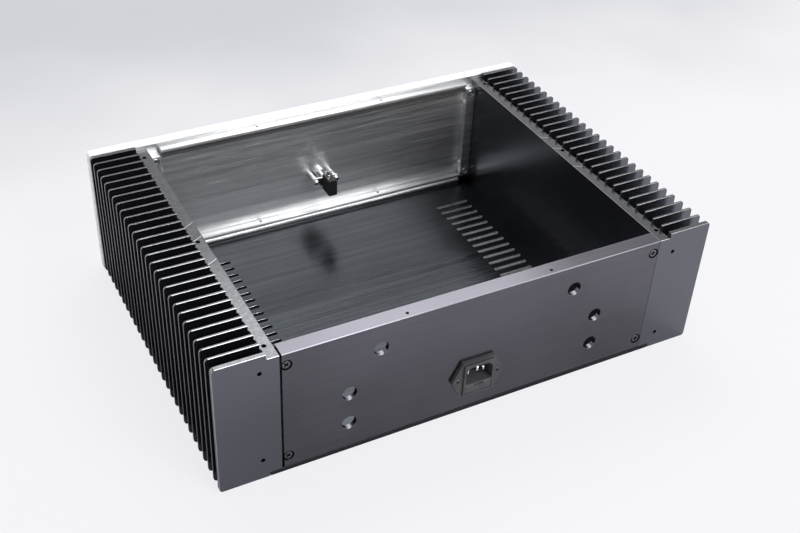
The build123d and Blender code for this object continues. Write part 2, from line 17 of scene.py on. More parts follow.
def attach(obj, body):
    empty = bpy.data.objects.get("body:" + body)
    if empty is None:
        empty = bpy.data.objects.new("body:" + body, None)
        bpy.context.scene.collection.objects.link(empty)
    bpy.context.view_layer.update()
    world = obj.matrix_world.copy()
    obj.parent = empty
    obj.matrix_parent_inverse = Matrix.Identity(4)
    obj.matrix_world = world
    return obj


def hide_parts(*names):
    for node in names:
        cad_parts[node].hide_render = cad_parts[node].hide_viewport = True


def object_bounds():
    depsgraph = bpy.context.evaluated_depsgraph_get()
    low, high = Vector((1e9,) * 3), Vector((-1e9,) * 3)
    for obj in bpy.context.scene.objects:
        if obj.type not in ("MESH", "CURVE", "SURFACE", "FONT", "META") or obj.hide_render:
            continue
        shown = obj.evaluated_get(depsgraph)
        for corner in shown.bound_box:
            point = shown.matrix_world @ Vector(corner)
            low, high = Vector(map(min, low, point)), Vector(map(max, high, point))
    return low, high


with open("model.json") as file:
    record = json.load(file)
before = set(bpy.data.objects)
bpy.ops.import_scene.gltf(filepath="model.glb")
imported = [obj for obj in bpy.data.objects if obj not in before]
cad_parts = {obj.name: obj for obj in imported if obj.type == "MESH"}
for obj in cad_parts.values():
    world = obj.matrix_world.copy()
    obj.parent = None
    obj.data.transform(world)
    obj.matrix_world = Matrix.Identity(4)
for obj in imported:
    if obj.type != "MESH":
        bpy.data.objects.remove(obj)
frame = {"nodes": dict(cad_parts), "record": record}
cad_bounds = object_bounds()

mm = 0.001
scene = bpy.context.scene
lowest, highest = cad_bounds
print("case", [round((b - a) / mm, 1) for a, b in zip(lowest, highest)], "mm")

# %% [markdown]
# ## A short way to write nodes
# A finish is a small sum of patterns, so it reads best as arithmetic. `Wire` wraps one output of a node and
# turns `+`, `-` and `*` into Math nodes. `Recipe` makes every other node: it takes the node's type, its
# settings, and the values or wires of its sockets. The same class builds Geometry Nodes trees.

# %% Wires and recipes
class Wire:
    """One output of a node, ready for arithmetic."""

    def __init__(self, recipe, socket):
        self.recipe = recipe
        self.socket = socket

    def math(self, operation, *others):
        values = dict(enumerate((self, *others)))
        return self.recipe.node("ShaderNodeMath", {"operation": operation}, values)

    def __add__(self, other):
        return self.math("ADD", other)

    def __sub__(self, other):
        return self.math("SUBTRACT", other)

    def __mul__(self, other):
        return self.math("MULTIPLY", other)

    def __rsub__(self, other):
        return self * -1.0 + other

    __radd__ = __add__
    __rmul__ = __mul__

    def between(self, low, high):
        """0 below low, 1 above high, smooth in the middle."""
        ends = {"Value": self, "From Min": low, "From Max": high}
        return self.recipe.node("ShaderNodeMapRange", {"interpolation_type": "SMOOTHSTEP"}, ends)


class Recipe:
    """Makes the nodes of one tree and joins them."""

    def __init__(self, tree):
        self.tree = tree
        tree.nodes.clear()

    def node(self, kind, settings=None, inputs=None, output=0):
        made = self.tree.nodes.new(kind)
        for name, value in (settings or {}).items():
            setattr(made, name, value)
        for key, value in (inputs or {}).items():
            for one in value if isinstance(value, list) else [value]:
                if isinstance(one, Wire):
                    self.tree.links.new(one.socket, made.inputs[key])
                else:
                    made.inputs[key].default_value = one
        return Wire(self, made.outputs[output]) if made.outputs else made


def mixed_colour(recipe, amount, first, second):
    return recipe.node("ShaderNodeMix", {"data_type": "RGBA"}, {0: amount, 6: first, 7: second}, output=2)


def object_place(recipe):
    return recipe.node("ShaderNodeTexCoord", output="Object")


print("a Wire knows", [name for name in vars(Wire) if not name.startswith("__")])

# %% [markdown]
# ## The floor
# The chassis stands on a pale cloth. The floor is a large plane with a faint lilac tint and a fine weave.
# For the camera most of its colour is a plain glow, so that it is nearly white whatever the lamps do, and
# the rest is real cloth, which keeps the shadow. It turns greyer far behind, as in the photo.

# %% Floor
def mesh_object(name, mesh):
    """Puts a mesh in the scene as an object at the origin."""
    made = bpy.data.objects.new(name, mesh)
    scene.collection.objects.link(made)
    return made


def floor_material():
    dull_lilac, pale_lilac = (0.86, 0.86, 0.90, 1.0), (0.90, 0.90, 0.93, 1.0)
    near_glow, far_glow = (0.93, 0.925, 0.955, 1.0), (0.60, 0.61, 0.65, 1.0)
    share_of_glow = 0.85
    material = bpy.data.materials.new("pale_cloth")
    material.use_nodes = True
    recipe = Recipe(material.node_tree)
    place = object_place(recipe)
    cloud = recipe.node("ShaderNodeTexNoise", inputs={"Vector": place, "Scale": 2.2, "Detail": 3.0})
    weave = recipe.node("ShaderNodeTexNoise", inputs={"Vector": place, "Scale": 900.0, "Detail": 2.0})
    colour = mixed_colour(recipe, cloud.between(0.35, 0.65), dull_lilac, pale_lilac)
    bump = recipe.node("ShaderNodeBump", inputs={"Height": weave, "Strength": 0.15, "Distance": 0.0005})
    cloth = recipe.node("ShaderNodeBsdfPrincipled", inputs={
        "Base Color": colour, "Roughness": 0.9, "Specular IOR Level": 0.15, "Normal": bump,
    })
    shown = recipe.node("ShaderNodeLightPath", output="Is Camera Ray")
    far = recipe.node("ShaderNodeSeparateXYZ", inputs={0: place}, output="Y")
    # Painted shade: the glow is darker far behind and under the cloud.
    far_shade = far + cloud * 0.5
    tint = mixed_colour(recipe, far_shade.between(0.1, -0.45), near_glow, far_glow)
    glow = recipe.node("ShaderNodeEmission", inputs={"Color": tint, "Strength": 1.0})
    both = recipe.node("ShaderNodeMixShader", inputs={0: shown * share_of_glow, 1: cloth, 2: glow})
    recipe.node("ShaderNodeOutputMaterial", inputs={"Surface": both})
    return material


def make_floor(half=6.0):
    corners = [(-half, -half, 0), (half, -half, 0), (half, half, 0), (-half, half, 0)]
    mesh = bpy.data.meshes.new("floor")
    mesh.from_pydata(corners, [], [(0, 1, 2, 3)])
    floor = mesh_object("floor", mesh)
    mesh.materials.append(floor_material())
    return floor


print("floor", list(make_floor().dimensions)[:2], "m")

# %% [markdown]
# ## The room
# The world has two faces. As a light it is plain and dim. For the camera and for mirrors it is white near
# the horizon and darker overhead, because black metal only looks black where it mirrors something dark.
# Light Path tells the two apart.

# %% World
def make_world(light_strength):
    daylight = (0.97, 0.98, 1.0, 1.0)
    horizon, ceiling = (1.0, 1.0, 1.0, 1.0), (0.26, 0.27, 0.29, 1.0)
    world = bpy.data.worlds.new("white_room")
    world.use_nodes = True
    scene.world = world
    recipe = Recipe(world.node_tree)
    seen = recipe.node("ShaderNodeLightPath", output="Is Camera Ray")
    mirrored = recipe.node("ShaderNodeLightPath", output="Is Glossy Ray")
    through = recipe.node("ShaderNodeLightPath", output="Is Transmission Ray")
    shown = (seen + mirrored + through).math("MINIMUM", 1.0)
    light = recipe.node("ShaderNodeBackground", inputs={"Color": daylight, "Strength": light_strength})
    direction = recipe.node("ShaderNodeTexCoord", output="Generated")
    rise = recipe.node("ShaderNodeSeparateXYZ", inputs={0: direction}, output="Z")
    room = mixed_colour(recipe, rise.between(0.5, 0.8), horizon, ceiling)
    white = recipe.node("ShaderNodeBackground", inputs={"Color": room, "Strength": 1.0})
    both = recipe.node("ShaderNodeMixShader", inputs={0: shown, 1: light, 2: white})
    recipe.node("ShaderNodeOutputWorld", inputs={"Surface": both})
    print("world light", light_strength)


make_world(0.36)

# %% [markdown]
# ## The lamps
# Metal shows its lamps, so each lamp stands where the photo's bright planes mirror it. The far softbox
# stands in front of the case and whitens the upper faces, which mirror that side. The two near lamps, behind
# the case, light the silver panel and the inside. All are large, so their edges are soft.

# %% Lamps
def softbox(name, place, width, height, brightness):
    """A rectangular lamp that points at the case and has a given brightness, whatever its size."""
    case_middle = Vector((0, 0, 0.05))
    watts_per_square_metre = 4
    lamp = bpy.data.lights.new(name, "AREA")
    lamp.shape = "RECTANGLE"
    lamp.size = width
    lamp.size_y = height
    lamp.energy = brightness * watts_per_square_metre * width * height
    made = bpy.data.objects.new(name, lamp)
    scene.collection.objects.link(made)
    made.location = place
    made.rotation_euler = (case_middle - Vector(place)).to_track_quat("-Z", "Y").to_euler()
    made.visible_camera = False
    print(name, round(lamp.energy, 1), "W")


softbox("far_softbox", (-0.30, -1.38, 1.97), width=2.0, height=1.15, brightness=3.15)
softbox("near_softbox", (-0.36, 1.65, 1.42), width=0.65, height=1.1, brightness=5.4)
softbox("near_fill", (-0.97, 1.44, 1.36), width=0.9, height=1.0, brightness=2.9)

# %% [markdown]
# ## The camera
# The photographer stood behind the case, a little to one side, and looked down into it. Heading, tilt and
# roll are turned into one matrix: first the roll about the line of sight, then the tilt, then the heading.

# %% Camera
image_width = 800
focal_length_pixels = 1152.958
sensor_width = 36.0
camera_place = Vector((0.386948, 0.714365, 0.646729))
heading, tilt, roll = math.radians(150.779), math.radians(53.102), math.radians(2.922)

lens = bpy.data.cameras.new("camera")
lens.sensor_width = sensor_width
lens.lens = sensor_width * focal_length_pixels / image_width
camera = bpy.data.objects.new("camera", lens)
scene.collection.objects.link(camera)
turn = Matrix.Rotation(heading, 4, "Z") @ Matrix.Rotation(tilt, 4, "X") @ Matrix.Rotation(roll, 4, "Z")
camera.matrix_world = Matrix.Translation(camera_place) @ turn
scene.camera = camera
scene.view_settings.view_transform = "Standard"
print("lens", round(lens.lens, 2), "mm")

# %% [markdown]
# ## Metal finishes
# Brushed metal is a mirror with fine parallel scratches. A noise that is stretched along the brushing
# direction gives the scratches: it tilts the surface a little through a Bump node and changes the
# roughness. A slow noise adds the cloudy look of anodising, and rare sharp specks stand for dust.
#
# Some faces of a piece look different from the rest of it. The meshes mark them with face attributes that
# the finish reads: one for faces cut after the extrusion, which also carries painted light on a slot's rims,
# one for chamfers, which get a painted highlight, and one for the inside of holes, screw heads and gaps,
# which is painted dark as shade.

# %% Stretched noise and cutter marks
def stretched_noise(recipe, scales, detail=2.0, roughness=0.5, shift=0.0):
    """Noise with its own number of waves per metre along each axis."""
    place = recipe.node("ShaderNodeMapping", inputs={
        "Vector": object_place(recipe), "Scale": scales, "Location": (shift, shift, shift),
    })
    return recipe.node("ShaderNodeTexNoise", inputs={
        "Vector": place, "Scale": 1.0, "Detail": detail, "Roughness": roughness,
    })


def face_mark(recipe, name):
    return recipe.node("ShaderNodeAttribute", {"attribute_name": name}, output="Fac")


def cutter_marks(recipe):
    """The few bright arcs that the end mill left across the heatsinks' strips, as a mask."""
    inner_x, strip_width = 0.165, 0.01
    arc_places = (-0.0242, -0.0035, 0.0296)
    arc_brightness = 0.45
    sides = recipe.node("ShaderNodeSeparateXYZ", inputs={0: object_place(recipe)}, output="X")
    along = recipe.node("ShaderNodeSeparateXYZ", inputs={0: object_place(recipe)}, output="Y")
    inwards = sides.math("ABSOLUTE") - inner_x
    swept = along - inwards * (0.75 - inwards * 20.0)
    marks = 0.0
    for y in arc_places:
        marks = (1.0 - (swept - y).math("ABSOLUTE").between(0.0002, 0.0005)) + marks
    strip = 1.0 - inwards.between(strip_width - 0.0003, strip_width + 0.0002)
    return marks * strip * arc_brightness


print("three marks: milled, edge and recess")

# %% Metal
def metal(name, dark, light, roughness, grain, grain_depth, streaks=0.6, bands=0.0, specks=0.0,
          milled=None, recess=None, metallic=1.0):
    """A metal whose colour runs from dark to light along its brushing.

    grain gives the waves per metre along X, Y and Z: few along the brushing, many across it. grain_depth is
    the scratches' depth in metres. streaks is the share of the fine lines in the colour, and the rest is
    the slow cloud of the anodising. bands adds wide soft lines, and specks adds dust. The two colours of the
    marks are bare milled metal, which on a slot's rims is painted light, and painted shade for the inside
    of holes, screw heads and gaps.
    """
    bare_metal = (0.8, 0.8, 0.8, 1.0)
    material = bpy.data.materials.new(name)
    material.use_nodes = True
    recipe = Recipe(material.node_tree)
    fine = stretched_noise(recipe, grain, detail=3.0, roughness=0.65)
    slow = recipe.node("ShaderNodeTexNoise", inputs={
        "Vector": object_place(recipe), "Scale": 9.0, "Detail": 3.0, "Roughness": 0.5,
    })
    streak = fine.between(0.32, 0.68)
    cloudy = slow.between(0.3, 0.7)
    tone = streak * streaks + cloudy * (1.0 - streaks)
    height = fine
    if bands:
        wide = stretched_noise(recipe, tuple(g * 0.14 for g in grain), detail=2.0, shift=3.7)
        tone = tone * (1.0 - bands) + wide.between(0.3, 0.7) * bands
        height = fine + wide * 1.5
    colour = mixed_colour(recipe, tone, (*dark, 1.0), (*light, 1.0))
    rough = streak * (0.12 * streaks) + cloudy * 0.04 + (roughness - 0.06)
    # Milled faces are bare metal; on the plate the same mark carries painted light on the slots' rims.
    if milled:
        cut = face_mark(recipe, "milled")
        swirl = stretched_noise(recipe, (500.0, 500.0, 10.0), shift=5.3)
        dull = tuple(c * 0.75 for c in milled)
        bare = mixed_colour(recipe, swirl.between(0.3, 0.7), (*dull, 1.0), (*milled, 1.0))
        # Chamfers get a painted highlight towards bare metal, and the cutter's arcs are real tool marks.
        edge_highlight = face_mark(recipe, "edge")
        bare = mixed_colour(recipe, edge_highlight * 0.3 + cutter_marks(recipe), bare, bare_metal)
        colour = mixed_colour(recipe, cut, colour, bare)
        rough = cut * -0.03 + rough
        height = (1.0 - cut) * height
    # Painted shade: the marked inside of holes, screw heads and gaps is painted dark.
    if recess:
        inside = face_mark(recipe, "recess")
        colour = mixed_colour(recipe, inside, colour, (*recess, 1.0))
        rough = inside * 0.4 + rough
    if specks:
        dots = recipe.node("ShaderNodeTexVoronoi", inputs={"Vector": object_place(recipe), "Scale": 95.0})
        chosen = stretched_noise(recipe, (60.0, 60.0, 60.0), shift=9.1).between(0.62, 0.7)
        dust = (1.0 - dots.between(0.02, 0.06)) * chosen * specks
        colour = mixed_colour(recipe, dust, colour, bare_metal)
    bump = recipe.node("ShaderNodeBump", inputs={"Height": height, "Strength": 1.0, "Distance": grain_depth})
    surface = recipe.node("ShaderNodeBsdfPrincipled", inputs={
        "Base Color": colour, "Roughness": rough, "Metallic": metallic, "Normal": bump,
    })
    recipe.node("ShaderNodeOutputMaterial", inputs={"Surface": surface})
    return material


# %% The metals of the case
along_x = (14.0, 1500.0, 1500.0)
along_z = (1500.0, 1500.0, 14.0)
any_way = (400.0, 400.0, 400.0)

# In each metal the colour for marked hollows is painted shade, and the plate's colour for cut faces is
# painted light on its slots' rims.
finishes = {
    "black_panel": metal(
        "black_brushed_panel", (0.097, 0.095, 0.109), (0.138, 0.135, 0.154), roughness=0.21, grain=along_x,
        grain_depth=0.00001, streaks=0.4, specks=0.5, recess=(0.010, 0.010, 0.012)),
    "black_plate": metal(
        "black_brushed_plate", (0.023, 0.026, 0.030), (0.046, 0.050, 0.056), roughness=0.18, grain=along_x,
        grain_depth=0.00006, streaks=0.85, bands=0.4, milled=(0.85, 0.86, 0.86)),
    "black_heatsink": metal(
        "black_extrusion", (0.128, 0.132, 0.152), (0.138, 0.142, 0.164), roughness=0.25, grain=along_z,
        grain_depth=0.0000012, streaks=0.25, milled=(0.125, 0.127, 0.135), recess=(0.004, 0.004, 0.005),
        metallic=0.96),
    "silver_aluminium": metal(
        "silver_brushed", (0.56, 0.57, 0.58), (1.0, 1.0, 1.0), roughness=0.34, grain=along_x,
        grain_depth=0.0002, streaks=0.8, bands=0.5, specks=0.7, recess=(0.06, 0.06, 0.065), metallic=0.95),
    "black_screw_steel": metal(
        "blackened_steel", (0.12, 0.12, 0.13), (0.20, 0.20, 0.21), roughness=0.30, grain=any_way,
        grain_depth=0.000004, recess=(0.012, 0.012, 0.014)),
    "plated_steel": metal(
        "zinc_plate", (0.78, 0.79, 0.80), (0.96, 0.97, 0.98), roughness=0.24, grain=any_way,
        grain_depth=0.000004, recess=(0.10, 0.10, 0.11)),
    "plated_brass": metal(
        "nickel_plate", (0.74, 0.73, 0.70), (0.90, 0.89, 0.86), roughness=0.16, grain=any_way,
        grain_depth=0.000003),
}
print("metals:", sorted(finishes))

# %% [markdown]
# ## Plastic and glass
# The inlet, the fuse drawer and the switch are moulded in satin black plastic, with a fine spark-eroded
# texture, and the switch's is darker. The plunger is white plastic. The fuses have thin clear glass tubes.
# A fine noise stands for the eroded pores, and a slow one keeps the colour from being flat.

# %% Plastic and glass
def plastic(name, dark, light, roughness):
    material = bpy.data.materials.new(name)
    material.use_nodes = True
    recipe = Recipe(material.node_tree)
    place = object_place(recipe)
    pores = recipe.node("ShaderNodeTexNoise", inputs={
        "Vector": place, "Scale": 1400.0, "Detail": 3.0, "Roughness": 0.6,
    })
    slow = recipe.node("ShaderNodeTexNoise", inputs={"Vector": place, "Scale": 60.0, "Detail": 2.0})
    tone = slow.between(0.35, 0.65) * 0.7 + pores * 0.3
    colour = mixed_colour(recipe, tone, (*dark, 1.0), (*light, 1.0))
    bump = recipe.node("ShaderNodeBump", inputs={"Height": pores, "Strength": 0.5, "Distance": 0.00003})
    surface = recipe.node("ShaderNodeBsdfPrincipled", inputs={
        "Base Color": colour, "Roughness": slow * 0.12 + (roughness - 0.06), "Specular IOR Level": 0.3,
        "Normal": bump,
    })
    recipe.node("ShaderNodeOutputMaterial", inputs={"Surface": surface})
    return material


def glass(name):
    greenish, clear = (0.90, 0.96, 0.94, 1.0), (1.0, 1.0, 1.0, 1.0)
    material = bpy.data.materials.new(name)
    material.use_nodes = True
    recipe = Recipe(material.node_tree)
    place = object_place(recipe)
    haze = recipe.node("ShaderNodeTexNoise", inputs={"Vector": place, "Scale": 300.0, "Detail": 2.0})
    surface = recipe.node("ShaderNodeBsdfPrincipled", inputs={
        "Base Color": mixed_colour(recipe, haze, greenish, clear), "Roughness": haze * 0.08 + 0.02,
        "Transmission Weight": 0.9, "IOR": 1.5,
    })
    recipe.node("ShaderNodeOutputMaterial", inputs={"Surface": surface})
    return material


for finish, name, dark, light, roughness in (
        ("black_plastic", "black_satin_plastic", (0.060, 0.060, 0.064), (0.085, 0.085, 0.089), 0.42),
        ("switch_plastic", "black_switch_plastic", (0.012, 0.012, 0.013), (0.022, 0.022, 0.024), 0.50),
        ("white_plastic", "white_satin_plastic", (0.74, 0.74, 0.71), (0.84, 0.84, 0.81), 0.40)):
    finishes[finish] = plastic(name, dark, light, roughness)
finishes["fuse_glass"] = glass("fuse_glass")
print("finishes:", len(finishes))

# %% [markdown]
# ## Dress the carried-over solids
# The packed record names one material slot for each node, so each solid takes the finish of its slot. The
# switch's body is the one exception, because its plastic is darker than the inlet's.

# %% Finishes by slot
def finished(piece, finish):
    piece.data.materials.clear()
    piece.data.materials.append(finishes[finish])
    return piece


slot_of = {entry["node"]: entry["material_slot"] for entry in frame["record"]["subparts"]}
for node, solid in frame["nodes"].items():
    finished(solid, "switch_plastic" if node == "switch_body" else slot_of[node])
print("dressed", len(slot_of), "nodes")

# %% [markdown]
# ## Closed bodies
# Most parts here are plain machined shapes, so a few helpers are enough. `lofted` joins a stack of equal
# rings into a closed body. `turned` spins a profile about the Z axis, as a lathe does. Both end in
# `body_from`, which merges doubled points and turns every face outwards.

# %% Closed bodies
true_edge_degrees = 35.0


def body_from(name, bm):
    """Merges doubles, turns faces outwards and keeps only true edges sharp."""
    bmesh.ops.remove_doubles(bm, verts=bm.verts, dist=0.004 * mm)
    bmesh.ops.dissolve_degenerate(bm, edges=bm.edges, dist=0.002 * mm)
    bmesh.ops.recalc_face_normals(bm, faces=bm.faces)
    for face in bm.faces:
        face.smooth = True
    for edge in bm.edges:
        edge.smooth = len(edge.link_faces) == 2 and edge.calc_face_angle() < math.radians(true_edge_degrees)
    mesh = bpy.data.meshes.new(name)
    bm.to_mesh(mesh)
    bm.free()
    return mesh_object(name, mesh)


def lofted(name, rings):
    """A closed body through rings of equal length, given in millimetres."""
    bm = bmesh.new()
    layers = [[bm.verts.new(Vector(point) * mm) for point in ring] for ring in rings]
    for low, high in zip(layers, layers[1:]):
        for i in range(len(low)):
            j = (i + 1) % len(low)
            bm.faces.new((low[i], low[j], high[j], high[i]))
    bm.faces.new(layers[0])
    bm.faces.new(layers[-1])
    return body_from(name, bm)


def turned(name, profile, sides=32):
    """A body turned about the Z axis from (radius, height) points that begin and end on the axis."""
    bm = bmesh.new()
    angles = [2 * math.pi * i / sides for i in range(sides)]
    rings = []
    for radius, height in profile:
        spots = angles if radius > 0 else angles[:1]
        rings.append([
            bm.verts.new((radius * mm * math.cos(a), radius * mm * math.sin(a), height * mm)) for a in spots])
    for low, high in zip(rings, rings[1:]):
        for i in range(sides):
            j = (i + 1) % sides
            corners = [low[i % len(low)], low[j % len(low)], high[j % len(high)], high[i % len(high)]]
            bm.faces.new(list(dict.fromkeys(corners)))
    return body_from(name, bm)


def box_body(name, low, high):
    """A box between two corners, in millimetres."""
    (x0, y0, z0), (x1, y1, z1) = low, high
    outline = [(x0, y0), (x1, y0), (x1, y1), (x0, y1)]
    return lofted(name, [[(x, y, z) for x, y in outline] for z in (z0, z1)])


print("edges above", true_edge_degrees, "degrees stay sharp")

# %% [markdown]
# ## Cutting, softening and marking
# `without` takes cutters away from a body, as a drill or a mill does. `softened` takes a small chamfer off
# the edges, because no real edge is perfectly sharp, and a soft edge catches a thin line of light. `marked`
# stores one of the face marks that a finish reads. `copied` starts a piece from its carried-over solid.

# %% Cutting and softening
def applied(piece):
    """Turns a piece's modifiers into its plain mesh."""
    bpy.context.view_layer.update()
    graph = bpy.context.evaluated_depsgraph_get()
    shown = piece.evaluated_get(graph)
    mesh = bpy.data.meshes.new_from_object(shown, preserve_all_data_layers=True, depsgraph=graph)
    piece.modifiers.clear()
    piece.data = mesh
    return piece


def without(piece, *cutters):
    for cutter in cutters:
        cut = piece.modifiers.new("cut", "BOOLEAN")
        cut.operation = "DIFFERENCE"
        cut.solver = "EXACT"
        cut.object = cutter
    applied(piece)
    for cutter in cutters:
        bpy.data.objects.remove(cutter)
    return creased(piece)


def softened(piece, width):
    """Takes a small chamfer, given in millimetres, off the true edges of a piece."""
    bevel = piece.modifiers.new("soft_edges", "BEVEL")
    bevel.width = width * mm
    bevel.segments = 1
    bevel.limit_method = "ANGLE"
    bevel.angle_limit = math.radians(true_edge_degrees)
    return creased(applied(piece))


def creased(piece):
    """Marks the true edges again after a cut, so that flat faces stay flat in the light."""
    bm = bmesh.new()
    bm.from_mesh(piece.data)
    fresh = body_from(piece.name, bm)
    piece.data = fresh.data
    bpy.data.objects.remove(fresh)
    return piece


print("the cutters are ready")

# %% Marking, copying and joining
def marked(piece, name, rule):
    """Stores a mark on each face, from a rule on its middle in millimetres and its normal."""
    layer = piece.data.attributes.new(name, "FLOAT", "FACE")
    for face, mark in zip(piece.data.polygons, layer.data):
        mark.value = float(rule(face.center / mm, face.normal))
    return piece


def copied(node, name):
    """A carried-over solid as a new piece, merged from its loose triangles into true faces."""
    bm = bmesh.new()
    bm.from_mesh(frame["nodes"][node].data)
    bmesh.ops.remove_doubles(bm, verts=bm.verts, dist=0.001 * mm)
    bmesh.ops.dissolve_limit(bm, angle_limit=math.radians(0.5), verts=bm.verts, edges=bm.edges)
    return body_from(name, bm)


def placed(piece, matrix):
    """Moves a piece's mesh, and leaves its object at the origin."""
    piece.data.transform(matrix)
    return piece


def joined(name, *pieces):
    """One piece from several."""
    bm = bmesh.new()
    for piece in pieces:
        bm.from_mesh(piece.data)
        bpy.data.objects.remove(piece)
    mesh = bpy.data.meshes.new(name)
    bm.to_mesh(mesh)
    bm.free()
    return mesh_object(name, mesh)


def fitted(piece, node, body):
    """Puts a finished piece in the place of a carried-over node."""
    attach(piece, body)
    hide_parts(node)
    print(piece.name, len(piece.data.polygons), "faces")


print("the workshop is ready")

# %% [markdown]
# ## Rows of equal pieces
# Fins, slots and screws all stand in straight rows, so one Geometry Nodes tree places them all. A line of
# points is put on each point of another line, which gives a grid, and the pattern piece is put on every
# point of the grid. A screw is never tightened to the same angle as its neighbour, so each copy may be
# turned by a random amount between two limits, with a fixed seed.

# %% A tree with named inputs
class Growth(Recipe):
    """A Geometry Nodes tree with named inputs, which ends in plain geometry and one finish."""

    def __init__(self, name, sockets):
        tree = bpy.data.node_groups.new(name, "GeometryNodeTree")
        super().__init__(tree)
        tree.interface.new_socket(name="Geometry", in_out="OUTPUT", socket_type="NodeSocketGeometry")
        for label, kind in sockets.items():
            tree.interface.new_socket(name=label, in_out="INPUT", socket_type="NodeSocket" + kind)
        entry = tree.nodes.new("NodeGroupInput")
        self.given = {label: Wire(self, entry.outputs[label]) for label in sockets}

    def end(self, geometry):
        plain = self.node("GeometryNodeRealizeInstances", inputs={"Geometry": geometry})
        dressed = self.node("GeometryNodeSetMaterial", inputs={
            "Geometry": plain, "Material": self.given["Finish"],
        })
        self.node("NodeGroupOutput", inputs={"Geometry": dressed})

    def grow(self, name, values):
        """Runs the tree with its inputs set, and keeps the result as a plain mesh."""
        piece = mesh_object(name, bpy.data.meshes.new(name))
        modifier = piece.modifiers.new(name, "NODES")
        modifier.node_group = self.tree
        for item in self.tree.interface.items_tree:
            if item.in_out == "INPUT":
                modifier[item.identifier] = values[item.name]
        return applied(piece)


print("a tree can now", [name for name in vars(Growth) if not name.startswith("__")])

# %% Rows
def rows_tree():
    growth = Growth("rows", {
        "Piece": "Object", "First": "Vector", "Columns": "Int", "Column Step": "Vector", "Rows": "Int",
        "Row Step": "Vector", "Most Turn": "Vector", "Seed": "Int", "Finish": "Material",
    })
    given = growth.given
    along = growth.node("GeometryNodeMeshLine", {"mode": "OFFSET"}, {
        "Count": given["Columns"], "Start Location": given["First"], "Offset": given["Column Step"],
    })
    across = growth.node("GeometryNodeMeshLine", {"mode": "OFFSET"}, {
        "Count": given["Rows"], "Offset": given["Row Step"],
    })
    grid = growth.node("GeometryNodeInstanceOnPoints", inputs={"Points": along, "Instance": across})
    points = growth.node("GeometryNodeRealizeInstances", inputs={"Geometry": grid})
    turn = growth.node("FunctionNodeRandomValue", {"data_type": "FLOAT_VECTOR"}, {
        0: (0.0, 0.0, 0.0), 1: given["Most Turn"], "Seed": given["Seed"],
    })
    pattern = growth.node("GeometryNodeObjectInfo", inputs={"Object": given["Piece"]}, output="Geometry")
    copies = growth.node("GeometryNodeInstanceOnPoints", inputs={
        "Points": points, "Instance": pattern, "Rotation": turn,
    })
    growth.end(copies)
    return growth


rows = rows_tree()


def in_rows(name, pattern, finish, first, columns, column_step, row_count=1, row_step=(0, 0, 0),
            turn=(0, 0, 0), seed=1):
    """A grid of copies of a pattern. Places and steps are in millimetres."""
    return rows.grow(name, {
        "Piece": pattern, "First": [v * mm for v in first], "Columns": columns,
        "Column Step": [v * mm for v in column_step], "Rows": row_count,
        "Row Step": [v * mm for v in row_step], "Most Turn": [float(v) for v in turn], "Seed": seed,
        "Finish": finish,
    })


print("one tree for every row, with", len(rows.tree.nodes), "nodes")

# %% [markdown]
# ## The finned heatsinks
# Each side of the case is one extrusion: a 9 mm base with 26 fins and a thicker flange at each end. After
# extrusion the strips were milled 4.2 mm lower than the fins, for the cover and for the bottom plate.
# A fin could be a thin box, but the real one is thicker at its root, flares into the base and has round
# corners at its tip. So one fin is lofted through rings that follow those rules, and the tree repeats it.

# %% Sizes of the case in millimetres
case_height = 120.0
strip_drop = 4.2
wall_x, base_x, step_x, tip_x = 165.0, 174.0, 175.0, 215.0
rear_y, panel_back_y = 153.75, -146.25

fin_count, fin_pitch, fin_middle_y = 26, 10.94, 3.75
fin_root, fin_tip, flange_thickness = 2.15, 1.7, 3.9
corner_radius, root_radius, edge = 3.0, 0.7, 0.25

strip_hole_x = 171
strip_hole_ys = (-132.25, 3.75, 139.75)
rail_hole_x = 62.8
rail_hole_ys = (-143.25, 149.25)
corner_screw_x = 160
corner_screw_levels = (15, 105)
corner_screw_rise = 90
flange_hole_x = 180.3
flange_hole_levels = (19.0, 104.5)
print("fins reach", tip_x - base_x, "mm out of the base")

# %% One fin
fin_stations = (174, 174.3, 174.7, 175, 175.4, 188, 201, tip_x - edge, tip_x)
corner_from_x = 210


def reach(depth):
    """How far out a fin goes at a depth below its rounded corner's top."""
    below = max(corner_radius - depth, 0.0)
    return tip_x - corner_radius + math.sqrt(corner_radius ** 2 - below ** 2)


def fin_ring(z, root, tip, flare):
    """One level of a fin, seen from above."""
    depth = min(z, case_height - z)
    inset = max(edge - depth, 0.0)
    start = step_x if depth < strip_drop else base_x
    outer = reach(depth)
    side = []
    for x in fin_stations:
        x = max(x, start) - (tip_x - outer if x > corner_from_x else 0)
        half = (root + (tip - root) * (x - base_x) / (tip_x - base_x)) / 2
        near = max(flare - (x - base_x), 0.0)
        half += flare - math.sqrt(flare ** 2 - near ** 2) if flare else 0.0
        half -= edge if x == outer else 0.0
        side.append((x, half - inset))
    return [(x, y, z) for x, y in side] + [(x, -y, z) for x, y in reversed(side)]


def fin(name, root, tip, flare):
    depths = [0, edge, 0.8, 1.6, corner_radius, strip_drop - 0.001, strip_drop]
    levels = depths + [case_height - d for d in reversed(depths)]
    return lofted(name, [fin_ring(z, root, tip, flare) for z in levels])


print("each level of a fin has", len(fin_ring(strip_drop, fin_root, fin_tip, root_radius)), "points")

# %% [markdown]
# ## Base, flanges and holes
# The base is a plain block with soft inner edges. Its strips carry the tapped holes for the cover and for
# the bottom plate, and the rear flange has two holes of its own. Each hole is made by a drill bit whose
# shoulder breaks the hole's edge. The holes' insides are marked for painted shade, which paints them black.

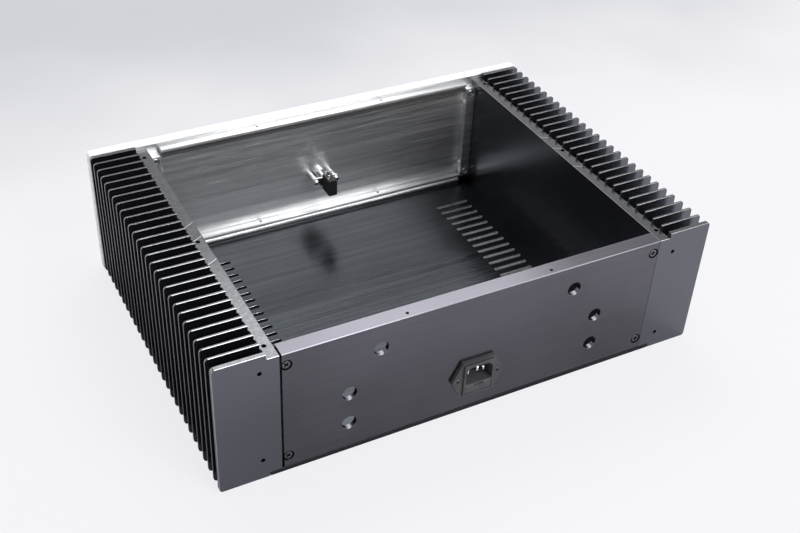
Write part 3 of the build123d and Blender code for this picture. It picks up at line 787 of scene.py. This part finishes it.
# %% Base, flanges and holes
def hole(radius, place, direction, length, entry=0.35):
    """A drill bit that enters at a place and goes in one direction, and breaks the hole's edge."""
    bit = turned("bit", [
        (0, 0.5), (radius + entry, 0.5), (radius + entry, 0), (radius, -entry), (radius, -length),
        (0, -length - 0.6 * radius)], 24)
    turn = Vector((0, 0, -1)).rotation_difference(Vector(direction)).to_matrix().to_4x4()
    return placed(bit, Matrix.Translation(Vector(place) * mm) @ turn)


def any_within(distances, limit):
    return min(distances) < limit


def base_block(upper_radius, lower_radius):
    """The heatsink's base, with soft inner edges and the holes in its strips."""
    top, hole_depth, hole_entry, dark_radius = case_height - strip_drop, 7, 0.3, 2.5
    block = box_body("base", (wall_x, panel_back_y, strip_drop), (base_x, rear_y, top))
    bm = bmesh.new()
    bm.from_mesh(block.data)
    inner = [e for e in bm.edges if min(v.co.x for v in e.verts) < (wall_x + 1) * mm]
    bmesh.ops.bevel(bm, geom=inner, offset=0.3 * mm, segments=1, affect="EDGES", profile=0.5)
    bm.to_mesh(block.data)
    bm.free()
    holes = []
    for y in strip_hole_ys:
        holes.append(hole(upper_radius, (strip_hole_x, y, top), (0, 0, -1), hole_depth, hole_entry))
        holes.append(hole(lower_radius, (strip_hole_x, y, strip_drop), (0, 0, 1), hole_depth, hole_entry))
    # Painted shade: the holes' walls are painted dark.
    return marked(without(block, *holes), "recess", lambda middle, normal: (
        abs(normal.z) < 0.9
        and any_within(
            [math.hypot(middle.x - strip_hole_x, middle.y - y) for y in strip_hole_ys], dark_radius)))


def end_flange(name, y, holes):
    dark_radius = 2.2
    flange = placed(fin(name, flange_thickness, flange_thickness, 0.0), Matrix.Translation((0, y * mm, 0)))
    if not holes:
        return flange
    # Painted shade: the holes' walls are painted dark.
    return marked(without(flange, *holes), "recess", lambda middle, normal: any_within(
        [math.hypot(middle.x - flange_hole_x, middle.z - z) for z in flange_hole_levels], dark_radius))


print("flange holes at", flange_hole_levels, "mm")

# %% [markdown]
# ## The comb
# One tree joins the base, the two flanges and the row of fins, and turns the whole comb over for the other
# side. It also stores the marks. Faces that look up or down are milled, and the slanted ones between them
# and the walls are edges, which get a painted highlight. The tips' chamfers at the rear flange get a
# stronger painted highlight than the other edges.

# %% The comb
def comb_tree():
    growth = Growth("comb", {
        "Base": "Object", "Rear Flange": "Object", "Front Flange": "Object", "Fin": "Object",
        "Fins": "Int", "First Fin": "Vector", "Pitch": "Vector", "Turn": "Vector", "Shift": "Vector",
        "Finish": "Material",
    })
    given = growth.given
    line = growth.node("GeometryNodeMeshLine", {"mode": "OFFSET"}, {
        "Count": given["Fins"], "Start Location": given["First Fin"], "Offset": given["Pitch"],
    })
    shapes = [growth.node("GeometryNodeObjectInfo", inputs={"Object": given[part]}, output="Geometry")
              for part in ("Base", "Rear Flange", "Front Flange", "Fin")]
    fins = growth.node("GeometryNodeInstanceOnPoints", inputs={"Points": line, "Instance": shapes[3]})
    joined_up = growth.node("GeometryNodeJoinGeometry", inputs={"Geometry": [*shapes[:3], fins]})
    turned_over = growth.node("GeometryNodeTransform", inputs={
        "Geometry": joined_up, "Rotation": given["Turn"], "Translation": given["Shift"],
    })
    plain = growth.node("GeometryNodeRealizeInstances", inputs={"Geometry": turned_over})

    facing = growth.node("GeometryNodeInputNormal")
    place = growth.node("GeometryNodeInputPosition")
    upright = growth.node("ShaderNodeSeparateXYZ", inputs={0: facing}, output="Z").math("ABSOLUTE")
    across = growth.node("ShaderNodeSeparateXYZ", inputs={0: facing}, output="X").math("ABSOLUTE")
    slanted = across.math("GREATER_THAN", 0.5) * across.math("LESS_THAN", 0.9)
    depth = growth.node("ShaderNodeSeparateXYZ", inputs={0: place}, output="Y")
    outwards = growth.node("ShaderNodeSeparateXYZ", inputs={0: place}, output="X").math("ABSOLUTE")
    at_tip = outwards.math("GREATER_THAN", (base_x + 20) * mm)
    deburred = slanted * at_tip * depth.math("GREATER_THAN", (rear_y - 0.5) * mm)
    milled = upright.math("GREATER_THAN", 0.6).math("MAXIMUM", deburred)
    # Painted highlight on the slanted chamfers, stronger at the rear tips.
    edge_highlight = (1.0 - upright.between(0.9, 0.99)) * (deburred * 0.7 + 1.0)
    shape = plain
    for mark, value in (("milled", milled), ("edge", edge_highlight)):
        settings = {"data_type": "FLOAT", "domain": "FACE"}
        shape = growth.node("GeometryNodeStoreNamedAttribute", settings, {
            "Geometry": shape, "Name": mark, "Value": value,
        })
    growth.end(shape)
    return growth


comb = comb_tree()
print("the comb's tree has", len(comb.tree.nodes), "nodes")

# %% Both heatsinks
cover_thread, plate_thread, flange_thread = 1.6, 1.5, 1.65
one_fin = fin("one_fin", fin_root, fin_tip, root_radius)
first_fin_y = fin_middle_y - (fin_count - 1) / 2 * fin_pitch

for side, turn, shift, radii in (
        ("right", (0.0, 0.0, 0.0), (0.0, 0.0, 0.0), (cover_thread, plate_thread)),
        ("left", (0.0, math.pi, 0.0), (0.0, 0.0, case_height * mm), (plate_thread, cover_thread))):
    flange_holes = [
        hole(flange_thread, (flange_hole_x, rear_y, z), (0, -1, 0), 6, 0.15) for z in flange_hole_levels]
    parts = {
        "Base": base_block(*radii), "Fin": one_fin,
        "Rear Flange": end_flange("rear_flange", rear_y - flange_thickness / 2, flange_holes),
        "Front Flange": end_flange("front_flange", panel_back_y + flange_thickness / 2, []),
    }
    heatsink = comb.grow("finned_heatsink_" + side, {
        **parts, "Fins": fin_count, "First Fin": (0.0, first_fin_y * mm, 0.0),
        "Pitch": (0.0, fin_pitch * mm, 0.0), "Turn": turn, "Shift": shift,
        "Finish": finishes["black_heatsink"],
    })
    fitted(heatsink, "heatsink_" + side, "chassis")
    for name in ("Base", "Rear Flange", "Front Flange"):
        bpy.data.objects.remove(parts[name])
bpy.data.objects.remove(one_fin)

# %% [markdown]
# ## The slotted bottom plate
# The plate is a 4 mm sheet with two rows of 22 long slots. Each slot could be drawn into an outline, but
# cutting is closer to the real work: one cutter shaped like the slot is repeated by the rows tree, and all
# 44 are taken away in one cut. The rims are then softened, because their bright lines show in the photo.

# %% Cutters for the plate
slot_count, slot_pitch, slot_middle_y = 22, 10.08, 2.95
slot_length, slot_width, slot_x = 34.6, 3.6, 126.2
by_heatsinks = {
    "columns": 2, "column_step": (2 * strip_hole_x, 0, 0),
    "row_count": 3, "row_step": (0, strip_hole_ys[1] - strip_hole_ys[0], 0),
}
by_rails = {
    "columns": 2, "column_step": (2 * rail_hole_x, 0, 0),
    "row_count": 2, "row_step": (0, rail_hole_ys[1] - rail_hole_ys[0], 0),
}


def slot_cutter(length, width, sides=10):
    half = length / 2 - width / 2
    outline = []
    for end in (1, -1):
        for i in range(sides + 1):
            angle = math.pi * (i / sides - 0.5)
            x = end * (half + width / 2 * math.cos(angle))
            outline.append((x, end * width / 2 * math.sin(angle)))
    return lofted("slot_cutter", [[(x, y, z) for x, y in outline] for z in (-1, 6)])


one_slot = slot_cutter(slot_length, slot_width)
first_slot = (-slot_x, slot_middle_y - (slot_count - 1) / 2 * slot_pitch, 0)
slots = in_rows("slots", one_slot, None, first_slot, slot_count, (0, slot_pitch, 0), 2, (2 * slot_x, 0, 0))
bpy.data.objects.remove(one_slot)

sink = turned("sink", [(0, -0.5), (3.1, -0.5), (3.1, 0), (2.75, 0.2), (1.55, 1.4), (1.55, 5), (0, 5)], 24)
sinks_by_heatsinks = in_rows("sinks", sink, None, (-strip_hole_x, strip_hole_ys[0], 0), **by_heatsinks)
sinks_by_rails = in_rows("sinks", sink, None, (-rail_hole_x, rail_hole_ys[0], 0), **by_rails)
bpy.data.objects.remove(sink)
print(slot_count * 2, "slots and 10 sinks to cut")

# %% Bottom plate
plate_half_width, plate_low, plate_high = 174.5, 0.2, 4.2
rims_from, rims_to = 105, 148


def rim_shine(middle, normal):
    """How much painted light a slot's rim gets: the chamfers most, as a painted highlight on bare metal, the
    walls less and only on the side that the lamps light.
    """
    if not rims_from < abs(middle.x) < rims_to or abs(normal.z) >= 0.9:
        return 0.0
    return 0.9 if abs(normal.z) > 0.3 else 0.7 * (middle.x < 0)


plate = box_body("slotted_bottom_plate", (-plate_half_width, panel_back_y, plate_low),
                 (plate_half_width, rear_y, plate_high))
plate = softened(without(plate, slots, sinks_by_heatsinks, sinks_by_rails), 0.25)
# Painted light: the slots' chamfers and one side's walls are coloured as lit bare metal.
marked(plate, "milled", rim_shine)
fitted(finished(plate, "black_plate"), "bottom_plate", "chassis")

# %% [markdown]
# ## The rear panel
# The rear panel keeps the shape of its solid, with small forms added. It is copied, and its loose triangles
# are merged into true faces. A tap leaves a small cone at a hole's edge, and a screw's seat is a little
# wider than its head and is painted dark as shade. The panel stands 1.5 mm off the heatsink on its +X side,
# and its end face in that gap is painted dark as shade, so the gap shows as a black line.

# %% Rear panel
seat_radius, panel_end_x = 4.5, 163.5


def mouths(y):
    """Cones at the two holes in the upper face of a rail or of the rear panel."""
    top = case_height - strip_drop
    return [hole(1.25, (x, y, top), (0, 0, -1), 3, 0.2) for x in (-rail_hole_x, rail_hole_x)]


def in_seat_or_gap(middle, normal):
    """The floor and wall of a screw's seat, or the panel's end face in the gap: the faces painted dark as
    shade.
    """
    sunk = rear_y - 3 < middle.y < rear_y - 0.05
    from_screws = [math.hypot(abs(middle.x) - corner_screw_x, middle.z - z) for z in corner_screw_levels]
    in_gap = abs(middle.x) > panel_end_x - 0.1 and abs(normal.x) > 0.5
    return sunk and any_within(from_screws, seat_radius + 0.2) or in_gap


seats = [hole(seat_radius, (x, rear_y, z), (0, -1, 0), 1.3, 0.1)
         for x in (-corner_screw_x, corner_screw_x) for z in corner_screw_levels]
trim = box_body("trim", (panel_end_x, rear_y - 14, 4), (wall_x + 1, rear_y + 1, 117))
panel = without(copied("rear_panel", "channel_rear_panel"), trim, *mouths(rail_hole_ys[1]), *seats)
# Painted shade on the screws' seats and on the end face in the gap.
marked(panel, "recess", in_seat_or_gap)
fitted(finished(panel, "black_panel"), "rear_panel", "chassis")

# %% [markdown]
# ## The rails and the corner posts
# These are milled bars with their burrs taken off, and the thin bright lines along their edges come from
# that. So each is its solid with a small chamfer. The upper rail also gets its holes' cones, and its side
# below the lip is painted dark as shade.

# %% Rails and posts
rail_chamfer, post_chamfer = 0.25, 0.3
upper_rail_from, lip_from = 100, 113.7

for level, name, node, cutters in ((8.0, "grooved_lower_rail", "front_rail_bottom", []),
                                   (112.0, "grooved_upper_rail", "front_rail_top",
                                    mouths(rail_hole_ys[0]))):
    rail = softened(copied(node, name), rail_chamfer)
    if cutters:
        without(rail, *cutters)
    # Painted shade on the upper rail's side below the lip.
    marked(rail, "recess", lambda middle, normal: (
        0.85 * (level > upper_rail_from and middle.z < lip_from and middle.y > -141)))
    fitted(finished(rail, "silver_aluminium"), node, "chassis")

for side in ("right", "left"):
    post = softened(copied("front_post_" + side, "edged_post_" + side), post_chamfer)
    fitted(finished(post, "silver_aluminium"), "front_post_" + side, "chassis")

# %% [markdown]
# ## Screws
# Each kind of screw is modelled once with its axis upright: a turned body, from which a cutter takes the
# cross or the hexagon. The pattern is then laid in its real direction and repeated in rows. Heads carry
# the detail here, because the rest of a screw is hidden in the metal.

# %% Crosses and hexagons
def plus_ring(arm, half, z):
    return [(x, y, z) for x, y in (
        (arm, half), (half, half), (half, arm), (-half, arm), (-half, half), (-arm, half),
        (-arm, -half), (-half, -half), (-half, -arm), (half, -arm), (half, -half), (arm, -half))]


def crossed(screw, face, size):
    """Cuts a cross into a head whose middle is at the height of face, and marks its inside for painted shade.
    """
    cutter = lofted("cross", [
        plus_ring(size * 0.6, size * 0.17, face - size * 0.6),
        plus_ring(size, size * 0.28, face),
        plus_ring(size * 1.05, size * 0.29, face + 0.6),
    ])
    softened(without(screw, cutter), 0.06)
    return marked(screw, "recess", lambda middle, normal: (
        face - size < middle.z < face - 0.1 and math.hypot(middle.x, middle.y) < size))


def hexed(screw, face, key, depth):
    """Cuts a hexagon for a key into a head, and marks its floor for painted shade."""
    corners = [(key / math.sqrt(3) * math.cos(a), key / math.sqrt(3) * math.sin(a))
               for a in (math.pi * i / 3 for i in range(6))]
    cutter = lofted("hexagon", [[(x, y, z) for x, y in corners] for z in (face - depth, face + 1)])
    softened(without(screw, cutter), 0.12)
    return marked(screw, "recess", lambda middle, normal: (
        face - depth - 0.1 < middle.z < face - depth + 0.1 and math.hypot(middle.x, middle.y) < key * 0.6))


print("two kinds of recess")

# %% Screw patterns
def shank(thread, end):
    """The lower end of a screw's profile, down to the axis."""
    return [(thread, end + 0.3), (thread - 0.3, end), (0, end)]


def flat_headed(head, thread, height, length, cross):
    """A countersunk screw whose head's face is at height 0."""
    profile = [(0, 0), (head - 0.15, 0), (head, -0.15), (head, -0.3), (thread, -height)]
    return crossed(turned("screw", profile + shank(thread, -length)), 0, cross)


def round_headed(head, thread, height, length, cross):
    """A screw whose rounded head stands on a seat at height 0."""
    angles = [math.pi * i / 14 for i in range(7)]
    arc = [(head * math.cos(a), height * (0.35 + 0.65 * math.sin(a))) for a in angles]
    profile = [(0, height), *reversed(arc), (head, 0), (thread, 0)]
    return crossed(turned("screw", profile + shank(thread, -length)), height, cross)


def socket_headed(head, thread, height, length, key, depth):
    """A cap screw whose head's face is at height 0."""
    rounding = [(head - 0.9, 0), (head - 0.3, -0.25), (head, -0.85)]
    profile = [(0, 0), *rounding, (head, -height), (thread, -height)]
    return hexed(turned("screw", profile + shank(thread, -height - length)), 0, key, depth)


towards = {
    "rear": Matrix.Rotation(-math.pi / 2, 4, "X"), "down": Matrix.Rotation(math.pi, 4, "X"),
    "left": Matrix.Rotation(-math.pi / 2, 4, "Y"), "right": Matrix.Rotation(math.pi / 2, 4, "Y"),
}
quarter = math.pi / 2
print("directions for a screw's head:", sorted(towards))

# %% Screws of the rear panel and of the front posts
black, plated = finishes["black_screw_steel"], finishes["plated_steel"]
in_corners = {
    "columns": 2, "column_step": (2 * corner_screw_x, 0, 0),
    "row_count": 2, "row_step": (0, 0, corner_screw_rise),
}

pattern = placed(flat_headed(head=3.2, thread=2.0, height=1.7, length=11.7, cross=2.3), towards["rear"])
piece = in_rows("cross_screws_rear_panel", pattern, black, (-corner_screw_x, rear_y - 0.3, 15), **in_corners,
                turn=(0, quarter, 0), seed=4)
fitted(piece, "rear_panel_screws", "chassis")
bpy.data.objects.remove(pattern)

cap_screw = socket_headed(head=3.5, thread=2.0, height=4.0, length=10, key=3.0, depth=1.8)
pattern = placed(cap_screw, towards["rear"])
piece = in_rows("socket_screws_front_posts", pattern, plated, (-corner_screw_x, -138.25, 15), **in_corners,
                turn=(0, quarter, 0), seed=7)
fitted(piece, "front_post_screws", "chassis")
bpy.data.objects.remove(pattern)

# %% Screws through the posts
sides = []
for x, way, seed in ((155, "left", 2), (-155, "right", 9)):
    pattern = placed(round_headed(head=2.2, thread=1.5, height=1.4, length=17, cross=1.2), towards[way])
    sides.append(in_rows("side_screws", pattern, plated, (x, -142.25, 25), 2, (0, 288, 0),
                         2, (0, 0, 70), turn=(quarter, 0, 0), seed=seed))
    bpy.data.objects.remove(pattern)
fitted(joined("round_screws_posts", *sides), "post_side_screws", "chassis")

# %% Screws of the bottom plate
pattern = placed(flat_headed(head=2.65, thread=1.5, height=1.5, length=9.5, cross=1.5), towards["down"])
sets = [
    in_rows("plate_screws", pattern, black, (-strip_hole_x, strip_hole_ys[0], plate_low), **by_heatsinks,
            turn=(0, 0, quarter), seed=3),
    in_rows("plate_screws", pattern, black, (-rail_hole_x, rail_hole_ys[0], plate_low), **by_rails,
            turn=(0, 0, quarter), seed=5),
]
bpy.data.objects.remove(pattern)
fitted(joined("cross_screws_bottom_plate", *sets), "bottom_plate_screws", "chassis")

# %% Screws of the inlet and of the switch
pattern = placed(flat_headed(head=2.5, thread=1.5, height=1.3, length=10.7, cross=1.7), towards["rear"])
piece = in_rows("cross_screws_inlet", pattern, black, (-18, 156.6, 35.7), 2, (36, 0, 0),
                turn=(0, quarter, 0), seed=6)
fitted(piece, "inlet_screws", "chassis")
bpy.data.objects.remove(pattern)

pattern = placed(round_headed(head=2.75, thread=1.5, height=2.0, length=7.2, cross=1.5), towards["rear"])
piece = in_rows("round_screws_switch", pattern, plated, (-10, -129.05, 50), 2, (20, 0, 0),
                turn=(0, quarter, 0), seed=8)
fitted(piece, "switch_screws", "chassis")
bpy.data.objects.remove(pattern)

# %% [markdown]
